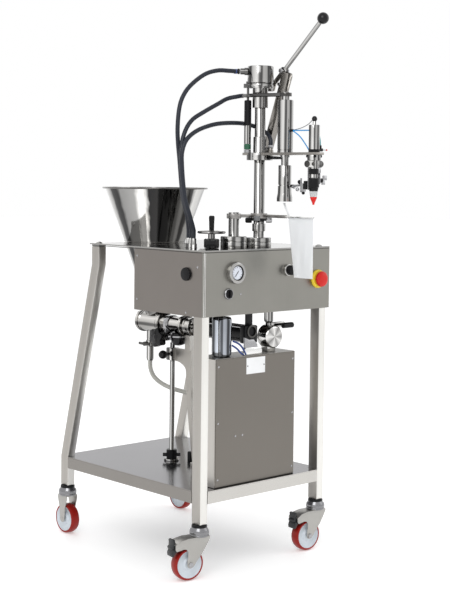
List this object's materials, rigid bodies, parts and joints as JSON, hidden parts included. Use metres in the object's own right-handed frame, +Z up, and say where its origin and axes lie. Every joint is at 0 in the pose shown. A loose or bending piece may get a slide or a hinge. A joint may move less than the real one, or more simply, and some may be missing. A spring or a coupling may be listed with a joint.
{
  "type": "piston doser",
  "caption": "Pneumatic piston doser on a stainless cart, with a cone hopper, a dosing cylinder, a lever-operated filling and capping head, and a control box",
  "frame": {"origin": "middle of the bounding box's base, on the floor", "axes": "+X right along the cart's front, +Y to the back, +Z up"},
  "size_m": [0.6481, 0.9251, 1.7375],
  "materials": {
    "front_left_leg": "brushed stainless steel",
    "front_right_leg": "brushed stainless steel",
    "back_left_leg": "brushed stainless steel",
    "back_right_leg": "brushed stainless steel",
    "shelf": "brushed stainless steel",
    "top_plate": "mirror polished",
    "housing_front": "brushed stainless steel",
    "housing_wrap": "brushed stainless steel",
    "hopper": "mirror polished",
    "valve_body": "brushed stainless steel",
    "product_cylinder": "brushed stainless steel",
    "drive_cylinder": "black",
    "drain_hose": "milky hose",
    "guide_rod": "mirror polished",
    "support_bracket": "brushed stainless steel",
    "control_box": "brushed stainless steel",
    "control_cover": "brushed stainless steel",
    "air_reservoir": "mirror polished",
    "air_filter": "mirror polished",
    "column": "mirror polished",
    "column_head": "mirror polished",
    "drum_hose": "dark navy rubber",
    "feed_hose": "dark navy rubber",
    "air_hose": "dark navy rubber",
    "gauge": "mirror polished",
    "estop_base": "yellow",
    "limit_post": "mirror polished",
    "rear_left_caster_fork": "brushed stainless steel",
    "rear_right_caster_fork": "brushed stainless steel",
    "left_caster_fork": "brushed stainless steel",
    "right_caster_fork": "brushed stainless steel",
    "front_left_wheel": "red tread on a pale hub",
    "front_right_wheel": "red tread on a pale hub",
    "rear_left_wheel": "red tread on a pale hub",
    "rear_right_wheel": "red tread on a pale hub",
    "left_brake_pedal": "dark grey",
    "right_brake_pedal": "dark grey",
    "carriage": "brushed stainless steel",
    "fill_cylinder": "mirror polished",
    "capper_cylinder": "brushed stainless steel",
    "strut_tube": "black",
    "lever": "mirror polished",
    "link": "brushed stainless steel",
    "lock_handle": "black",
    "cap_chuck": "dark steel with a red tip",
    "piston": "mirror polished",
    "valve_rotor": "brushed stainless steel",
    "drain_wing": "brushed stainless steel",
    "handwheel": "mirror polished",
    "lock_nut": "black",
    "estop_button": "red",
    "selector": "black",
    "regulator_knob": "black",
    "star_knob": "black",
    "clamp_knob": "black",
    "air_handle": "black",
    "pouch_holder": "brushed stainless steel",
    "pouch": "white film"
  },
  "bodies": {
    "cart": {"front_left_leg": "front_left_leg", "front_right_leg": "front_right_leg", "back_left_leg": "back_left_leg", "back_right_leg": "back_right_leg", "shelf": "shelf", "top_plate": "top_plate", "housing_front": "housing_front", "housing_wrap": "housing_wrap", "hopper": "hopper", "valve_body": "valve_body", "product_cylinder": "product_cylinder", "drive_cylinder": "drive_cylinder", "drain_hose": "drain_hose", "guide_rod": "guide_rod", "support_bracket": "support_bracket", "control_box": "control_box", "control_cover": "control_cover", "air_reservoir": "air_reservoir", "air_filter": "air_filter", "column": "column", "column_head": "column_head", "drum_hose": "drum_hose", "feed_hose": "feed_hose", "air_hose": "air_hose", "gauge": "gauge", "estop_base": "estop_base", "limit_post": "limit_post", "rear_left_caster_fork": "rear_left_caster_fork", "rear_right_caster_fork": "rear_right_caster_fork"},
    "left_swivel": {"left_caster_fork": "left_caster_fork"},
    "right_swivel": {"right_caster_fork": "right_caster_fork"},
    "front_left_roller": {"front_left_wheel": "front_left_wheel"},
    "front_right_roller": {"front_right_wheel": "front_right_wheel"},
    "rear_left_roller": {"rear_left_wheel": "rear_left_wheel"},
    "rear_right_roller": {"rear_right_wheel": "rear_right_wheel"},
    "left_brake": {"left_brake_pedal": "left_brake_pedal"},
    "right_brake": {"right_brake_pedal": "right_brake_pedal"},
    "carriage_unit": {"carriage": "carriage", "fill_cylinder": "fill_cylinder", "capper_cylinder": "capper_cylinder", "strut_tube": "strut_tube"},
    "lever_arm": {"lever": "lever"},
    "link_bar": {"link": "link"},
    "lock": {"lock_handle": "lock_handle"},
    "chuck": {"cap_chuck": "cap_chuck"},
    "dosing_piston": {"piston": "piston"},
    "rotor": {"valve_rotor": "valve_rotor"},
    "wing": {"drain_wing": "drain_wing"},
    "dose_wheel": {"handwheel": "handwheel"},
    "dose_lock_nut": {"lock_nut": "lock_nut"},
    "stop_button": {"estop_button": "estop_button"},
    "selector_switch": {"selector": "selector"},
    "regulator": {"regulator_knob": "regulator_knob"},
    "star": {"star_knob": "star_knob"},
    "rod_clamp": {"clamp_knob": "clamp_knob"},
    "air_valve_handle": {"air_handle": "air_handle"},
    "holder": {"pouch_holder": "pouch_holder", "pouch": "pouch"}
  },
  "joints": [
    {"name": "left_swivel_turn", "type": "hinge", "parent": "cart", "child": "left_swivel", "pos_m": [-0.21882, -0.26945, 0.14], "axis": [0, 0, 1], "continuous": true},
    {"name": "right_swivel_turn", "type": "hinge", "parent": "cart", "child": "right_swivel", "pos_m": [0.29318, -0.26945, 0.14], "axis": [0, 0, 1], "continuous": true},
    {"name": "front_left_wheel_spin", "type": "hinge", "parent": "left_swivel", "child": "front_left_roller", "pos_m": [-0.26013, -0.26188, 0.05], "axis": [-0.1801, -0.9836, 0], "continuous": true},
    {"name": "front_right_wheel_spin", "type": "hinge", "parent": "right_swivel", "child": "front_right_roller", "pos_m": [0.25132, -0.26609, 0.05], "axis": [-0.08, -0.9968, 0], "continuous": true},
    {"name": "rear_left_wheel_spin", "type": "hinge", "parent": "cart", "child": "rear_left_roller", "pos_m": [-0.21882, 0.41255, 0.05], "axis": [1, 0, 0], "continuous": true},
    {"name": "rear_right_wheel_spin", "type": "hinge", "parent": "cart", "child": "rear_right_roller", "pos_m": [0.29318, 0.41255, 0.05], "axis": [1, 0, 0], "continuous": true},
    {"name": "left_brake_press", "type": "hinge", "parent": "left_swivel", "child": "left_brake", "pos_m": [-0.28433, -0.25745, 0.105], "axis": [-0.1801, -0.9836, 0], "range_deg": [0, 14]},
    {"name": "right_brake_press", "type": "hinge", "parent": "right_swivel", "child": "right_brake", "pos_m": [0.22679, -0.26412, 0.105], "axis": [-0.08, -0.9968, 0], "range_deg": [0, 14]},
    {"name": "carriage_slide", "type": "slide", "parent": "cart", "child": "carriage_unit", "axis": [0, 0, -1], "range_m": [0, 0.035], "deforming": ["feed_hose", "air_hose"]},
    {"name": "lever_pivot", "type": "hinge", "parent": "carriage_unit", "child": "lever_arm", "pos_m": [0.13818, -0.25345, 1.565], "axis": [1, 0, 0], "range_deg": [0, 38.5]},
    {"name": "link_pivot", "type": "hinge", "parent": "cart", "child": "link_bar", "pos_m": [0.14218, -0.20265, 1.508], "axis": [1, 0, 0], "range_deg": [-48.5, 0]},
    {"name": "lock_turn", "type": "hinge", "parent": "carriage_unit", "child": "lock", "pos_m": [0.08618, -0.25475, 1.286], "axis": [0, 1, 0], "range_deg": [0, 60]},
    {"name": "chuck_spin", "type": "hinge", "parent": "carriage_unit", "child": "chuck", "pos_m": [0.08618, -0.44045, 1.2], "axis": [0, 0, 1], "continuous": true},
    {"name": "piston_slide", "type": "slide", "parent": "cart", "child": "dosing_piston", "axis": [0, -1, 0], "range_m": [0, 0.06]},
    {"name": "valve_turn", "type": "hinge", "parent": "cart", "child": "rotor", "pos_m": [0.00618, 0.22855, 0.727], "axis": [0, 1, 0], "range_deg": [0, 180]},
    {"name": "drain_wing_turn", "type": "hinge", "parent": "cart", "child": "wing", "pos_m": [-0.01382, 0.24755, 0.65], "axis": [1, 0, 0], "range_deg": [0, 90]},
    {"name": "dose_wheel_turn", "type": "hinge", "parent": "cart", "child": "dose_wheel", "pos_m": [-0.10882, -0.18945, 1.044], "axis": [0, 0, 1], "continuous": true},
    {"name": "lock_nut_turn", "type": "hinge", "parent": "cart", "child": "dose_lock_nut", "pos_m": [-0.10882, -0.18945, 1.01], "axis": [0, 0, 1], "continuous": true},
    {"name": "stop_press", "type": "slide", "parent": "cart", "child": "stop_button", "axis": [0, 1, 0], "range_m": [0, 0.004], "stiffness_N_per_m": 500, "springref_m": -0.002},
    {"name": "selector_turn", "type": "hinge", "parent": "cart", "child": "selector_switch", "pos_m": [-0.12882, -0.29175, 0.865], "axis": [0, 1, 0], "range_deg": [-45, 45]},
    {"name": "regulator_turn", "type": "hinge", "parent": "cart", "child": "regulator", "pos_m": [0.12718, -0.29175, 0.929], "axis": [0, 1, 0], "range_deg": [-150, 150]},
    {"name": "star_knob_turn", "type": "hinge", "parent": "cart", "child": "star", "pos_m": [-0.04002, 0.13455, 0.686], "axis": [1, 0, 0], "continuous": true},
    {"name": "clamp_knob_turn", "type": "hinge", "parent": "cart", "child": "rod_clamp", "pos_m": [-0.01382, 0.12855, 0.6265], "axis": [1, 0, 0], "continuous": true},
    {"name": "air_handle_turn", "type": "hinge", "parent": "cart", "child": "air_valve_handle", "pos_m": [0.16218, -0.24445, 0.747], "axis": [0, 1, 0], "range_deg": [0, 90]},
    {"name": "holder_height", "type": "slide", "parent": "cart", "child": "holder", "axis": [0, 0, -1], "range_m": [0, 0.008]}
  ],
  "couplings": [
    {"joint": "lever_pivot", "follows": "carriage_slide", "rad_per_m": 19},
    {"joint": "link_pivot", "follows": "carriage_slide", "rad_per_m": -24}
  ]
}
